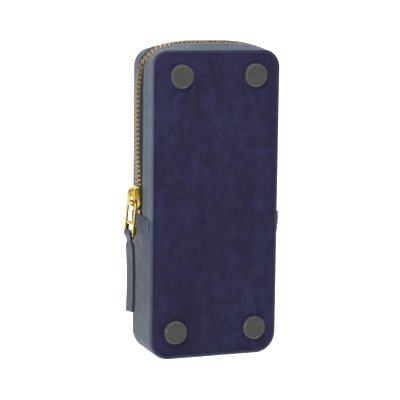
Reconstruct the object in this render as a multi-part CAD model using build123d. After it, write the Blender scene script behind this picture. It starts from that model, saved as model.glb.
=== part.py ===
"""Upright zippered leather case: a suede-faced base tray and a hinged lid, joined by a
zip that runs up one long side, over the top and down the other long side.

Frame: millimetres, +Z up with the case standing on its short end, +X to the right and
+Y into the case, so the suede face with the four feet looks along -Y. The origin is the
centre of the flat end that the case stands on.
"""
from build123d import *
from math import sin, cos, pi, radians, hypot
import os

# ------------------------------------------------------------------ driving dimensions
W = 75.0            # width over the panels, X
H = 170.0           # height standing on end, Z
D = 30.5            # depth over the two panels, Y
R_TOP = 9.8         # outline corner radius at the top
R_BOT = 11.6        # outline corner radius at the bottom

T_FACE = 1.2        # suede or leather on the two large faces
T_BOARD = 1.6       # stiffener boards
T_LIN = 0.6         # lining
T_GUS = 1.3         # gusset leather
T_SKIVE = 1.1       # gusset leather at its skived zip edge
T_TAPE = 0.5        # zip tape
RIM_W = 2.1         # width of the turned rim seen from the front
RIM_Y = 2.25        # depth of the turned rim
RIM_R = 1.3         # rounding of the rim's outer edge

Z_SEAM = 79.8       # top edge of the lower gusset
Z_HINGE = 79.1      # fold line of the lid
GAP = 0.2           # half gap at the fold line
Y_EDGE = 5.4        # gusset leather stops this far from the zip's centre
Y_RIM = D / 2 - RIM_Y

PITCH = 2.54        # tooth pitch along one tape
TOOTH_W = 1.0       # tooth thickness along the tape
TOOTH_H = 2.9       # tooth height
CHAIN = 2.9         # half width of the closed chain
Z_TEETH_L = 88.6    # first tooth on the left side
Z_TEETH_R = 84.6    # first tooth on the right side

FOOT_D = 13.0
FOOT_T = 2.2
FEET = {            # centres, X and Z
    "foot_top_left": (-20.2, 155.7),
    "foot_top_right": (22.8, 156.0),
    "foot_bottom_left": (-22.7, 15.1),
    "foot_bottom_right": (23.9, 14.9),
}

SL_Z0, SL_Z1 = 83.0, 95.2     # slider, lower and upper end
SL_W = 9.2                    # slider width across the chain
SL_PL = 0.8                   # plate thickness
SL_GAP = 0.12                 # play between the teeth and the slider's plates
BR_H = 3.9                    # height of the slider's bridge over the plate
BR_T = 0.8                    # thickness of the bridge
BR_W = 2.4                    # width of the slider's bridge

TWIST = 15.0        # the hanging pull is turned this far about Z
TILT = 10.0         # and hangs this far askew in its own plane
SHIFT = 1.0         # the pull sits this far towards the front in the bridge
PIVOT_Z = 87.1
P_LEN = 18.6        # pull, pivot bar to lower bar
P_CROSS = 12.2      # pull, pivot bar to cross bar
P_W = 9.0           # pull, outside width
BAR = 1.3           # pull, bar width
P_T = 1.2           # pull thickness
P_T2 = 2.6          # pull thickness below the cross bar
BAR_R = 0.9         # radius of the lower bar
STRAP_TWIST = 20.0
STRAP_W = 5.8
STRAP_T = 2.2
LOOP_W = 5.0
LOOP_R = 2.5

OUT = "parts"
os.makedirs(OUT, exist_ok=True)


def save(name, shape):
    export_step(shape, os.path.join(OUT, name + ".step"))


def group(solids):
    return Compound(children=list(solids))


# ------------------------------------------------------------------ outline and stations
def interp(t, xs, ys):
    if t <= xs[0]:
        return ys[0]
    for i in range(len(xs) - 1):
        if t <= xs[i + 1]:
            k = (t - xs[i]) / (xs[i + 1] - xs[i])
            return ys[i] + k * (ys[i + 1] - ys[i])
    return ys[-1]


HALF = W / 2
CXT, CZT = HALF - R_TOP, H - R_TOP          # top corner centre
CXB, CZB = HALF - R_BOT, R_BOT              # bottom corner centre
ARC = R_TOP * pi / 4                        # corner middle to corner end

TT = [0, 3.9, 7.7, 13.0, 18.8, 24.0, 30.0]
B_SIDE = [0.1, 0.6, 1.8, 2.8, 3.4, 3.6, 3.6]   # outer face of the chain over the outline
B_TOP = [0.1, 0.6, 2.0, 3.3, 4.2, 4.6, 4.7]
E_SIDE = [0.15, 0.35, 0.8, 1.15, 1.35, 1.4, 1.4]  # gusset leather's zip edge over the outline
E_TOP = [0.15, 0.5, 1.5, 2.6, 3.4, 3.75, 3.85]


class Station:
    """A point of the outline: place, outward normal, and how far the soft wall stands proud there."""

    def __init__(self, x, z, nx, nz, b, e):
        self.x, self.z, self.nx, self.nz, self.b, self.e = x, z, nx, nz, b, e

    def at(self, y, h):
        return (self.x + self.nx * h, y, self.z + self.nz * h)


def side(z, s):
    t = ARC + (CZT - z)
    dip = interp(z, [79.4, 82.0], [1.15, 0.75])     # the tapes dive under the lower gusset
    if z > 82.0:                                    # and the chain lies lower where the slider grips it
        dip = interp(z, [97.5, 103.0, 109.0, 114.0], [0.75, 0.5, 0.2, 0.0])
    return Station(s * HALF, z, s, 0, interp(t, TT, B_SIDE) - dip, interp(t, TT, E_SIDE))


def top(x):
    t = ARC + (CXT - abs(x))
    return Station(x, H, 0, 1, interp(t, TT, B_TOP), interp(t, TT, E_TOP))


def corner(deg, s):
    """deg 0 at the side, 90 at the top."""
    a = radians(deg)
    t = abs(a - pi / 4) * R_TOP
    b, e = (B_SIDE, E_SIDE) if deg < 45 else (B_TOP, E_TOP)
    return Station(s * (CXT + R_TOP * cos(a)), CZT + R_TOP * sin(a), s * cos(a), sin(a),
                   interp(t, TT, b), interp(t, TT, e))


def upper(z_left, z_right, extra=()):
    """Stations from the left side, over the top, to the right side."""
    zs = [79.4, 82.0, 97.5, 103.0, 109.0, 114.0, 134.0, 140.0, 147.0, 154.0, CZT]
    left = [side(z, -1) for z in sorted([z_left] + [z for z in zs if z > z_left + 1] + list(extra))]
    right = [side(z, 1) for z in sorted([z_right] + [z for z in zs if z > z_right + 1], reverse=True)]
    lc = [corner(d, -1) for d in (15, 30, 45, 60, 75)]
    rc = [corner(d, 1) for d in (75, 60, 45, 30, 15)]
    tops = [top(x) for x in (-CXT, -22, -15.5, -8, 0, 8, 15.5, 22, CXT)]
    return left + lc + tops + rc + right


def loft_strip(stations, section):
    """section(station) gives the closed cross-section as (y, h) points."""
    wires = [Wire.make_polygon([Vector(*s.at(y, h)) for y, h in section(s)], close=True)
             for s in stations]
    return Solid.make_loft(wires, ruled=True)


# ------------------------------------------------------------------ flat pieces
def outline_solid(off, y0, y1):
    """The case outline, grown by off, from y0 to y1."""
    w, h = W + 2 * off, H + 2 * off
    with BuildPart() as p:
        with BuildSketch(Plane(origin=(0, y1, H / 2), x_dir=(1, 0, 0), z_dir=(0, -1, 0))) as sk:
            Rectangle(w, h)
            fillet([v for v in sk.vertices() if v.Y > 0], R_TOP + off)
            fillet([v for v in sk.vertices() if v.Y < -h / 2 + 1e-3], R_BOT + off)
        extrude(amount=y1 - y0)
    return p.part


def slab(z0, z1):
    return Pos(0, 0, (z0 + z1) / 2) * Box(200, 200, z1 - z0)


def ring(off_out, off_in, y0, y1):
    return outline_solid(off_out, y0, y1) - outline_solid(off_in, y0 - 1, y1 + 1)


UP = slab(Z_HINGE + GAP, 300)
DOWN = slab(-50, Z_HINGE - GAP)

y_face = -D / 2                      # front of the suede
base_panel = outline_solid(-RIM_W, y_face, y_face + T_FACE)
base_board = outline_solid(-RIM_W - 0.05, y_face + T_FACE, y_face + T_FACE + T_BOARD)
base_lining = outline_solid(-RIM_W - 0.75, y_face + T_FACE + T_BOARD, y_face + T_FACE + T_BOARD + T_LIN)


def rim_ring():
    """Closed rim at the front, its outer front edge rounded."""
    r = ring(0, -RIM_W + 0.03, -D / 2, -D / 2 + RIM_Y)
    outer = [e for e in r.edges()
             if e.center().Y < -D / 2 + 0.01 and
             (abs(abs(e.center().X) - HALF) < 3.6 or abs(e.center().Z) < 3.6 or abs(e.center().Z - H) < 3.6)]
    outer = [e for e in outer if not inside_edge(e)]
    return fillet(outer, RIM_R)


def inside_edge(e):
    """True for an edge of the rim's inner loop."""
    p = e @ 0.5
    off = RIM_W - 0.03
    if abs(p.X) < CXT and abs(p.Z - H) < 5:
        return abs(p.Z - (H - off)) < 0.2
    if abs(p.X) < CXB and abs(p.Z) < 5:
        return abs(p.Z - off) < 0.2
    if CZB < p.Z < CZT:
        return abs(abs(p.X) - (HALF - off)) < 0.2
    cx, cz, r = (CXT, CZT, R_TOP) if p.Z > H / 2 else (CXB, CZB, R_BOT)
    return hypot(abs(p.X) - cx, p.Z - cz) < r - off / 2


base_rim = rim_ring()
back_rim = mirror(base_rim, about=Plane.XZ)
back_full = mirror(base_panel, about=Plane.XZ)
back_board_full = mirror(base_board, about=Plane.XZ)
back_lining_full = mirror(base_lining, about=Plane.XZ)

save("base_panel", base_panel)
save("base_board", base_board)
save("base_lining", base_lining)
save("base_rim", base_rim)
for full, up, down in ((back_full, "lid_panel", "back_panel_lower"),
                       (back_board_full, "lid_board", "back_board_lower"),
                       (back_lining_full, "lid_lining", "back_lining_lower"),
                       (back_rim, "lid_rim", "back_rim_lower")):
    save(up, full & UP)
    save(down, full & DOWN)


# ------------------------------------------------------------------ upper gusset strips
def strip_section(s):
    return [(-Y_RIM + 0.02, 0.0), (-Y_EDGE, s.e), (-Y_EDGE, s.e - T_SKIVE), (-Y_RIM + 0.02, -T_GUS)]


def strip_under(s, y):
    """Height of the strip's underside at -y."""
    k = (Y_RIM - 0.02 - y) / (Y_RIM - 0.02 - Y_EDGE)
    return -T_GUS + k * (s.e - T_SKIVE + T_GUS)


def lining_section(s):
    o1, o2 = strip_under(s, 11.6) - T_TAPE - 0.16, strip_under(s, Y_EDGE) - T_TAPE - 0.16
    return [(-11.6, o1), (-5.3, o2), (-5.3, o2 - T_LIN + 0.1), (-11.6, o1 - T_LIN + 0.1)]


def tape_section(inner):
    def f(s):
        hc, t = s.b - TOOTH_H / 2 - 0.05, T_TAPE / 2
        u1, u2 = strip_under(s, 11.2) - 0.08, strip_under(s, 5.25) - 0.08
        y = inner(s)
        return [(-y, hc + t), (-3.4, hc + t), (-5.25, u2), (-11.2, u1),
                (-11.2, u1 - T_TAPE), (-5.25, u2 - T_TAPE), (-3.4, hc - t), (-y, hc - t)]
    return f


def flip(f):
    return lambda s: [(-y, h) for y, h in f(s)]


def tape_inner(s):
    """The two tapes part a little below the first tooth, round the slider's wedge."""
    if abs(s.z) < 87.0 and abs(s.nx) > 0.9:
        return 1.6
    return 1.0


low, z_lid = 76.6, Z_HINGE + GAP
save("base_gusset", loft_strip(upper(74.5, low), strip_section))
save("lid_gusset", loft_strip(upper(z_lid, z_lid), flip(strip_section)))
save("base_gusset_lining", loft_strip(upper(Z_SEAM + 0.3, Z_SEAM + 0.3), lining_section))
save("lid_gusset_lining", loft_strip(upper(z_lid, z_lid), flip(lining_section)))
save("zip_tape_base", loft_strip(upper(low, low, (86.9, 88.0)), tape_section(tape_inner)))
save("zip_tape_lid", loft_strip(upper(low, low, (86.9, 88.0)), flip(tape_section(tape_inner))))


# ------------------------------------------------------------------ zip teeth and stops
def dense():
    """The chain's centre line, from low on the left to low on the right: (x, z) points."""
    pts = []
    st = [side(z, -1) for z in [77 + i * 1.0 for i in range(84) if 77 + i < CZT]]
    st += [corner(d, -1) for d in range(0, 91, 3)]
    n = 60
    st += [top(-CXT + 2 * CXT * i / n) for i in range(1, n)]
    st += [corner(d, 1) for d in range(90, -1, -3)]
    st += [side(z, 1) for z in [77 + i * 1.0 for i in range(83, -1, -1) if 77 + i < CZT]]
    for s in st:
        p = s.at(0, s.b - TOOTH_H / 2 - 0.05)
        pts.append((p[0], p[2]))
    return pts


def along(pts):
    d = [0.0]
    for (a, b), (c, e) in zip(pts, pts[1:]):
        d.append(d[-1] + hypot(c - a, e - b))
    return d


PTS = dense()
DIST = along(PTS)


def place(s):
    """Point and smoothed tangent at length s along the chain."""
    def p(q):
        q = min(max(q, 0), DIST[-1])
        for i in range(len(DIST) - 1):
            if q <= DIST[i + 1]:
                k = (q - DIST[i]) / (DIST[i + 1] - DIST[i])
                return (PTS[i][0] + k * (PTS[i + 1][0] - PTS[i][0]), PTS[i][1] + k * (PTS[i + 1][1] - PTS[i][1]))
    a, b, c = p(s - 1.6), p(s), p(s + 1.6)
    l = hypot(c[0] - a[0], c[1] - a[1])
    return b, ((c[0] - a[0]) / l, (c[1] - a[1]) / l)


def clamp_solid(s, poly, thick):
    """A closed (y, h) polygon, thick along the chain, centred at length s."""
    (x, z), (tx, tz) = place(s)
    pl = Plane(origin=(x - tx * thick / 2, 0, z - tz * thick / 2), x_dir=(0, 1, 0), z_dir=(tx, 0, tz))
    w = Wire.make_polygon([pl.from_local_coords(Vector(y, h, 0)) for y, h in poly], close=True)
    return Solid.extrude(Face(w), Vector(tx * thick, 0, tz * thick))


def tooth_poly(sgn):
    """A tooth: legs that grip the tape on its own side, and a head that crosses the centre."""
    t, a = T_TAPE / 2 + 0.13, TOOTH_H / 2
    pts = [(0.9, a - 0.45), (-0.2, a), (-1.9, a), (-CHAIN, a - 0.6), (-CHAIN, t), (-0.93, t),
           (-0.93, -t), (-CHAIN, -t), (-CHAIN, -a + 0.6), (-1.9, -a), (-0.2, -a), (0.9, -a + 0.45)]
    return [(y * sgn, h) for y, h in pts]


S_L = Z_TEETH_L - 77.0
S_R = DIST[-1] - (Z_TEETH_R - 77.0)
N = int((S_R - S_L) / PITCH)
save("zip_teeth_base", group(clamp_solid(S_L + i * PITCH, tooth_poly(1), TOOTH_W) for i in range(N + 1)))
save("zip_teeth_lid", group(clamp_solid(S_L + (i + 0.5) * PITCH, tooth_poly(-1), TOOTH_W) for i in range(N)))

t_, a_ = T_TAPE / 2 + 0.12, 1.1
stop = [(-1.25, a_), (-3.1, a_), (-3.1, t_), (-1.55, t_), (-1.55, -t_), (-3.1, -t_), (-3.1, -a_), (-1.25, -a_)]
save("zip_top_stop_front", clamp_solid(81.2 - 77, stop, 2.2))
save("zip_top_stop_back", clamp_solid(81.2 - 77, [(-y, h) for y, h in stop], 2.2))
bstop = [(-2.7, 1.25), (2.7, 1.25), (2.7, t_), (0.7, t_), (0.7, -t_), (2.7, -t_), (2.7, -1.25), (-2.7, -1.25),
         (-2.7, -t_), (-0.7, -t_), (-0.7, t_), (-2.7, t_)]
save("zip_bottom_stop", clamp_solid(DIST[-1] - (82.3 - 77), bstop, 2.4))


# ------------------------------------------------------------------ lower gusset
FLARE_D = [0, 5.0, 9.5, 18, 30]


def low_side(z, s):
    d = Z_SEAM - z
    h1 = interp(d, FLARE_D, [1.5, 1.48, 0.95, 0.2, 0.0])
    h2 = interp(d, FLARE_D, [2.75, 2.65, 1.8, 0.45, 0.0])
    return Station(s * HALF, z, s, 0, h1, h2)


def low_corner(deg, s):
    a = radians(deg)
    return Station(s * (CXB + R_BOT * cos(a)), CZB - R_BOT * sin(a), s * cos(a), -sin(a), 0, 0)


def low_section(s):
    y = Y_RIM - 0.02
    o = [(-y, s.b), (-Y_EDGE, s.e), (Y_EDGE, s.e), (y, s.b)]
    return o + [(yy, hh - T_GUS) for yy, hh in reversed(o)]


zs = [Z_SEAM - d for d in FLARE_D] + [CZB]
degs = [7.5 * i for i in range(1, 13)]
low_st = ([low_side(z, -1) for z in zs] + [low_corner(d, -1) for d in degs]
          + [low_corner(d, 1) for d in reversed(degs)] + [low_side(z, 1) for z in reversed(zs)])
# on the left its top edge drops towards the front corner
DROP = [(-4.5, Z_SEAM), (-8.5, Z_SEAM - 0.6), (-13.2, Z_SEAM - 2.0)]


def seam_z(y, s):
    return interp(-y, [-p[0] for p in DROP], [p[1] for p in DROP]) if s < 0 else Z_SEAM


cut = Solid.extrude(Face(Wire.make_polygon([Vector(-HALF - 6, y, z) for y, z in
                    DROP + [(-14, Z_SEAM - 2.0), (-14, Z_SEAM + 2), (-4.5, Z_SEAM + 2)]], close=True)), Vector(9, 0, 0))
save("lower_gusset", loft_strip(low_st, low_section) - cut)
LOWBOX = slab(-5, Z_SEAM - 3.4)
save("lower_gusset_board", ring(-T_GUS - 0.1, -T_GUS - 0.85, -12.3, 12.3) & LOWBOX)
save("lower_gusset_lining", ring(-T_GUS - 0.87, -T_GUS - 1.37, -11.75, 11.75) & LOWBOX)


# ------------------------------------------------------------------ seam stitches
def stitches(s):
    """A row of short stitches that lie on the gusset, under its top edge."""
    out = []
    for i in range(7):
        y = -11.1 + i * 3.7
        zc = seam_z(y, s) - 1.7
        st = low_side(zc, s)
        if abs(y) < Y_EDGE:
            h, slope = st.e, 0.0
        else:
            k = (abs(y) - Y_EDGE) / (Y_RIM - 0.02 - Y_EDGE)
            h = st.e + k * (st.b - st.e)
            slope = (st.b - st.e) / (Y_RIM - 0.02 - Y_EDGE) * (1 if y > 0 else -1)
        n = hypot(1, slope)
        d = Vector(s * slope / n, 1 / n, 0)
        c = Vector(s * (HALF + h + 0.30), y, zc)
        pl = Plane(origin=c - d * 1.2, x_dir=(0, 0, 1), z_dir=d)
        out.append(pl * Pos(0, 0, 1.2) * Cylinder(0.24, 2.4))
    return group(out)


save("seam_stitches_left", stitches(-1))
save("seam_stitches_right", stitches(1))

# ------------------------------------------------------------------ feet
for name, (x, z) in FEET.items():
    f = Plane(origin=(x, -D / 2, z), x_dir=(1, 0, 0), z_dir=(0, -1, 0)) * Pos(0, 0, FOOT_T / 2) * Cylinder(FOOT_D / 2, FOOT_T)
    rim = [e for e in f.edges() if e.center().Y < -D / 2 - FOOT_T + 0.01]
    save(name, fillet(rim, 0.5))

# ------------------------------------------------------------------ slider
S0 = side(90.0, -1)
XC = -HALF - (S0.b - TOOTH_H / 2 - 0.05)           # the tape's plane on the left side
X_TI = XC - TOOTH_H / 2 - SL_GAP                   # inside of the outer plate
X_BI = XC + TOOTH_H / 2 + SL_GAP                   # inside of the inner plate
X_TO = X_TI - SL_PL
X_BO = X_BI + SL_PL


def box(x0, x1, y0, y1, z0, z1):
    return Pos((x0 + x1) / 2, (y0 + y1) / 2, (z0 + z1) / 2) * Box(abs(x1 - x0), abs(y1 - y0), abs(z1 - z0))


def plate_outline(x0, x1):
    """Slider plate: narrow throat at the top, wide shoulders below."""
    w, n = SL_W / 2, SL_W / 2 - 1.1
    pts = [(-n, SL_Z1), (n, SL_Z1), (w, SL_Z1 - 3.6), (w, SL_Z0 + 2.4), (w - 1.4, SL_Z0), (-w + 1.4, SL_Z0),
           (-w, SL_Z0 + 2.4), (-w, SL_Z1 - 3.6)]
    wire = Wire.make_polygon([Vector(x0, y, z) for y, z in pts], close=True)
    return Solid.extrude(Face(wire), Vector(x1 - x0, 0, 0))


body = plate_outline(X_TO, X_BO)
channel = box(X_TI, X_BI, -3.15, 3.15, SL_Z0 - 1, SL_Z1 + 1)
slit = box(XC - 0.55, XC + 1.35, -6, 6, SL_Z0 - 1, SL_Z1 + 1)
post = Solid.extrude(Face(Wire.make_polygon([Vector(X_TI - 0.2, y, z) for y, z in
                     [(0, 87.3), (1.15, 85.4), (0.6, SL_Z0 + 0.2), (-0.6, SL_Z0 + 0.2), (-1.15, 85.4)]], close=True)),
                     Vector(X_BI - X_TI + 0.4, 0, 0))
slider_body = body - channel - slit + post
save("slider_body", slider_body)

XB_O = X_TO - BR_H                                  # outer face of the bridge
bridge = box(XB_O, X_TO, -BR_W / 2, BR_W / 2, SL_Z0 + 1.5, SL_Z1 - 0.9)
bridge = fillet([e for e in bridge.edges() if e.center().X < XB_O + 0.01 and abs(e.center().Y) < 0.1], 1.6)
tunnel = box(XB_O + BR_T, X_TO + 1, -5, 5, SL_Z0 + 2.8, SL_Z1 - 2.3)
bridge = bridge - tunnel
save("slider_bridge", bridge)

# ------------------------------------------------------------------ pull frame
PV = Vector(XB_O + BR_T + P_T / 2 + 0.35, 0, PIVOT_Z)       # pivot bar centre, inside the bridge
pull_place = Pos(*PV) * Rot(0, 0, TWIST) * Rot(TILT, 0, 0)
# In the pull's own axes: y across, -z down its length, -x away from the case.
w0, w1 = -P_W / 2 - SHIFT, P_W / 2 - SHIFT
frame = box(-P_T / 2, P_T / 2, w0, w1, -P_LEN, 0)
frame = frame + box(-P_T / 2, P_T2 - P_T / 2, w0, w1, -P_LEN, -P_CROSS - BAR / 2 - 1.3)
frame = frame - box(-5, 5, w0 + BAR, w1 - BAR, -P_CROSS + BAR / 2, 5)
frame = frame - box(-5, 5, w0 + BAR, w1 - BAR, -P_LEN - 5, -P_CROSS - BAR / 2)
frame = frame + Pos(0, (w0 + w1) / 2, 0) * Rot(90, 0, 0) * Cylinder(P_T / 2, P_W)            # round pivot bar
frame = frame + Pos(0.4, (w0 + w1) / 2, -P_LEN) * Rot(90, 0, 0) * Cylinder(BAR_R, P_W)      # round lower bar
save("pull_frame", pull_place * frame)


# ------------------------------------------------------------------ leather strap
def rot_vec(v):
    """A direction of the pull's own axes in the case's axes."""
    a = pull_place * Pos(v.X, v.Y, v.Z)
    return a.position - PV


LB = (pull_place * Pos(0.4, -SHIFT, -P_LEN)).position           # lower bar centre
bar_dir = rot_vec(Vector(0, 1, 0))
st = radians(STRAP_TWIST)
out = Vector(-cos(st), -sin(st), 0)                             # away from the case
wid = Vector(-sin(st), cos(st), 0)                              # across the strap

loop_pl = Plane(origin=LB, x_dir=rot_vec(Vector(1, 0, 0)), z_dir=bar_dir)
loop = loop_pl * Cylinder(LOOP_R, LOOP_W)
hole = loop_pl * Cylinder(BAR_R + 0.06, LOOP_W + 4)


def prof(pts, width):
    w = Wire.make_polygon([LB + out * a + Vector(0, 0, -b) - wid * (width / 2) for a, b in pts], close=True)
    return Solid.extrude(Face(w), wid * width)


neck = prof([(-1.4, 1.6), (0.8, 1.6), (0.6, 4.2), (-1.4, 4.2)], LOOP_W - 0.8)
# centre line of the two layers: offset away from the case, distance below the lower bar
line = [(-0.35, 3.6), (-0.5, 7.3), (-0.7, 11.0), (-0.88, 15.0), (-0.95, 22.0), (-0.95, 29.0), (-0.92, 37.0), (-0.78, 44.1)]
front = [(a + STRAP_T / 2, b) for a, b in line]
back = [(a - STRAP_T / 2, b) for a, b in reversed(line)]
strap = prof(front + back, STRAP_W)
tail = (loop + neck + strap) - hole
save("pull_strap", tail)
print("pivot", PV, "lower bar", LB, "bar dir", bar_dir, "x tape", XC, "slider x", X_TO, X_BO, "bridge", XB_O, "teeth", N)
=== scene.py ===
import bpy
import bmesh
import math
import numpy as np
from mathutils import Vector, Matrix


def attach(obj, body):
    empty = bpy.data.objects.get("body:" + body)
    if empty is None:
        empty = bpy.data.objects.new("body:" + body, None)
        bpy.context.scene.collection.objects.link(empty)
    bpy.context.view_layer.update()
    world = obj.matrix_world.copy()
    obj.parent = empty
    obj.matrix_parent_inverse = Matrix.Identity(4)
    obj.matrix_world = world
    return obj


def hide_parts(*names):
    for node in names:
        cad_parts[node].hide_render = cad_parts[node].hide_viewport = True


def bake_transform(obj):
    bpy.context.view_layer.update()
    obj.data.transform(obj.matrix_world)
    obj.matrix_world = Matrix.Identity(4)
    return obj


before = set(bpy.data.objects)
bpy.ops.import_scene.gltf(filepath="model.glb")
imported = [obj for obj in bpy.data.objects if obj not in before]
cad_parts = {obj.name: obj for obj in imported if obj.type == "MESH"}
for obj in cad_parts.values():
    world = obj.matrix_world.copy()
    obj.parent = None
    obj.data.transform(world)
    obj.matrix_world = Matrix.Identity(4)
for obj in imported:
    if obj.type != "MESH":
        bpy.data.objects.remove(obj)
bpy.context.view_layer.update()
scene = bpy.context.scene
MM = 0.001
sin, cos, pi, rad = math.sin, math.cos, math.pi, math.radians

# ------------------------------------------------------------------ sizes, in millimetres, as the frame has them
W, H, D = 75.0, 170.0, 30.5
R_TOP, R_BOT = 9.8, 11.6
HALF = W / 2
CXT, CZT = HALF - R_TOP, H - R_TOP
CXB, CZB = HALF - R_BOT, R_BOT
ARC = R_TOP * pi / 4
RIM_Y = 2.25
Y_RIM = D / 2 - RIM_Y
Y_EDGE = 5.4
T_GUS, T_SKIVE, T_TAPE = 1.3, 1.1, 0.5
Z_SEAM, Z_FOLD = 79.8, 79.1
TOOTH_H, PITCH = 2.9, 2.54
Z_TEETH_L, Z_TEETH_R = 88.6, 84.6


def pchip(x, xs, ys):
    """Monotone cubic through (xs, ys), flat outside."""
    xs, ys = np.asarray(xs, float), np.asarray(ys, float)
    h, d = np.diff(xs), np.diff(ys) / np.diff(xs)
    m = np.zeros(len(xs))
    for i in range(1, len(xs) - 1):
        if d[i - 1] * d[i] > 0:
            w1, w2 = 2 * h[i] + h[i - 1], h[i] + 2 * h[i - 1]
            m[i] = (w1 + w2) / (w1 / d[i - 1] + w2 / d[i])
    x = float(min(max(x, xs[0]), xs[-1]))
    i = int(min(max(np.searchsorted(xs, x) - 1, 0), len(xs) - 2))
    t = (x - xs[i]) / h[i]
    return ((1 + 2 * t) * (1 - t) ** 2 * ys[i] + t * (1 - t) ** 2 * h[i] * m[i]
            + t * t * (3 - 2 * t) * ys[i + 1] + t * t * (t - 1) * h[i] * m[i + 1])


def smooth01(t):
    t = min(max(t, 0.0), 1.0)
    return t * t * (3 - 2 * t)


def wob(*a):
    """A smooth, repeatable wobble in -1..1 from a few sines."""
    s = 0.0
    for i, v in enumerate(a):
        s += sin(v * 0.61 + 1.3 * i) * 0.5 + sin(v * 0.23 + 2.1 + i) * 0.35 + sin(v * 1.37 + 0.7 * i) * 0.15
    return s / max(len(a), 1)


TT = [0, 3.9, 7.7, 13.0, 18.8, 24.0, 30.0]
B_SIDE = [0.1, 0.6, 1.8, 2.8, 3.4, 3.6, 3.6]
B_TOP = [0.1, 0.6, 2.0, 3.3, 4.2, 4.6, 4.7]
E_SIDE = [0.15, 0.35, 0.8, 1.15, 1.35, 1.4, 1.4]
E_TOP = [0.15, 0.5, 1.5, 2.6, 3.4, 3.75, 3.85]


class St:
    """A station on the outline: place, outward normal, chain height b, strip height e."""

    def __init__(self, x, z, nx, nz, b=0.0, e=0.0):
        self.x, self.z, self.nx, self.nz, self.b, self.e = x, z, nx, nz, b, e

    def at(self, y, h):
        return (self.x + self.nx * h, y, self.z + self.nz * h)


def side(z, s):
    t = ARC + (CZT - z)
    dip = 0.75 + 0.4 * (1 - smooth01((z - 79.4) / 2.6)) if z < 97.5 else 0.75 * (1 - smooth01((z - 97.5) / 16.5))
    return St(s * HALF, z, s, 0.0, pchip(t, TT, B_SIDE) - dip, pchip(t, TT, E_SIDE))


def top(x):
    t = ARC + (CXT - abs(x))
    return St(x, H, 0.0, 1.0, pchip(t, TT, B_TOP), pchip(t, TT, E_TOP))


def corner(deg, s):
    a = rad(deg)
    t = abs(a - pi / 4) * R_TOP
    b, e = (B_SIDE, E_SIDE) if deg < 45 else (B_TOP, E_TOP)
    return St(s * (CXT + R_TOP * cos(a)), CZT + R_TOP * sin(a), s * cos(a), sin(a), pchip(t, TT, b), pchip(t, TT, e))


def upper(zl, zr, ds=1.25, dc=4.5):
    def zlist(z0):
        n = max(2, int(round((CZT - z0) / ds)))
        return [z0 + (CZT - z0) * i / n for i in range(n)]
    n = int(round(90 / dc))
    m = int(round(2 * CXT / ds))
    out = [side(z, -1) for z in zlist(zl)]
    out += [corner(90 * i / n, -1) for i in range(n)]
    out += [top(-CXT + 2 * CXT * i / m) for i in range(m)]
    out += [corner(90 - 90 * i / n, 1) for i in range(n)]
    out += [side(CZT - (CZT - zr) * i / max(2, int(round((CZT - zr) / ds))), 1)
            for i in range(max(2, int(round((CZT - zr) / ds))) + 1)]
    return out


def loop_path(ds=2.2, dc=5.0):
    """The whole outline as a closed list of stations, starting at the bottom middle, clockwise seen from the front."""
    out = []

    def line(x0, z0, x1, z1, nx, nz):
        n = max(1, int(round(math.hypot(x1 - x0, z1 - z0) / ds)))
        for i in range(n):
            k = i / n
            out.append(St(x0 + (x1 - x0) * k, z0 + (z1 - z0) * k, nx, nz))

    def arc(cx, cz, r, a0, a1):
        n = int(round(abs(a1 - a0) / dc))
        for i in range(n):
            a = rad(a0 + (a1 - a0) * i / n)
            out.append(St(cx + r * cos(a), cz + r * sin(a), cos(a), sin(a)))

    line(0, 0, -CXB, 0, 0, -1)
    arc(-CXB, CZB, R_BOT, 270, 180)
    line(-HALF, CZB, -HALF, CZT, -1, 0)
    arc(-CXT, CZT, R_TOP, 180, 90)
    line(-CXT, H, CXT, H, 0, 1)
    arc(CXT, CZT, R_TOP, 90, 0)
    line(HALF, CZT, HALF, CZB, 1, 0)
    arc(CXB, CZB, R_BOT, 0, -90)
    line(CXB, 0, 0, 0, 0, -1)
    return out


# ------------------------------------------------------------------ mesh helpers
def make(name, verts, faces, mat, smooth=True, uvs=None):
    me = bpy.data.meshes.new(name)
    me.from_pydata([(float(v[0]) * MM, float(v[1]) * MM, float(v[2]) * MM) for v in verts], [], faces)
    me.validate()
    me.update()
    if uvs is not None:
        layer = me.uv_layers.new(name="UVMap")
        for lp in me.loops:
            layer.data[lp.index].uv = uvs[lp.vertex_index]
    if smooth:
        me.polygons.foreach_set("use_smooth", [True] * len(me.polygons))
    ob = bpy.data.objects.new(name, me)
    scene.collection.objects.link(ob)
    if mat is not None:
        me.materials.append(mat)
    bm = bmesh.new()
    bm.from_mesh(me)
    bmesh.ops.recalc_face_normals(bm, faces=bm.faces)
    bm.to_mesh(me)
    bm.free()
    return ob


def grid(S, closed_u=False, closed_v=True, caps=True):
    """S[n][m] points: faces between successive sections. Returns (verts, faces)."""
    S = np.asarray(S, float)
    n, m = S.shape[:2]
    verts = S.reshape(-1, 3)
    faces = []
    for i in range(n if closed_u else n - 1):
        j = (i + 1) % n
        for k in range(m if closed_v else m - 1):
            l = (k + 1) % m
            faces.append((i * m + k, i * m + l, j * m + l, j * m + k))
    if caps and closed_v and not closed_u:
        faces.append(tuple(reversed(range(m))))
        faces.append(tuple((n - 1) * m + k for k in range(m)))
    return verts, faces


def uv_of(S):
    """u along the path and v across the section, in millimetres."""
    S = np.asarray(S, float)
    n, m = S.shape[:2]
    mid = S[:, m // 4, :]
    u = np.concatenate([[0], np.cumsum(np.linalg.norm(np.diff(mid, axis=0), axis=1))])
    uv = []
    for i in range(n):
        v = np.concatenate([[0], np.cumsum(np.linalg.norm(np.diff(S[i], axis=0), axis=1))])
        uv += [(float(u[i]), float(x)) for x in v]
    return uv


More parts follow.
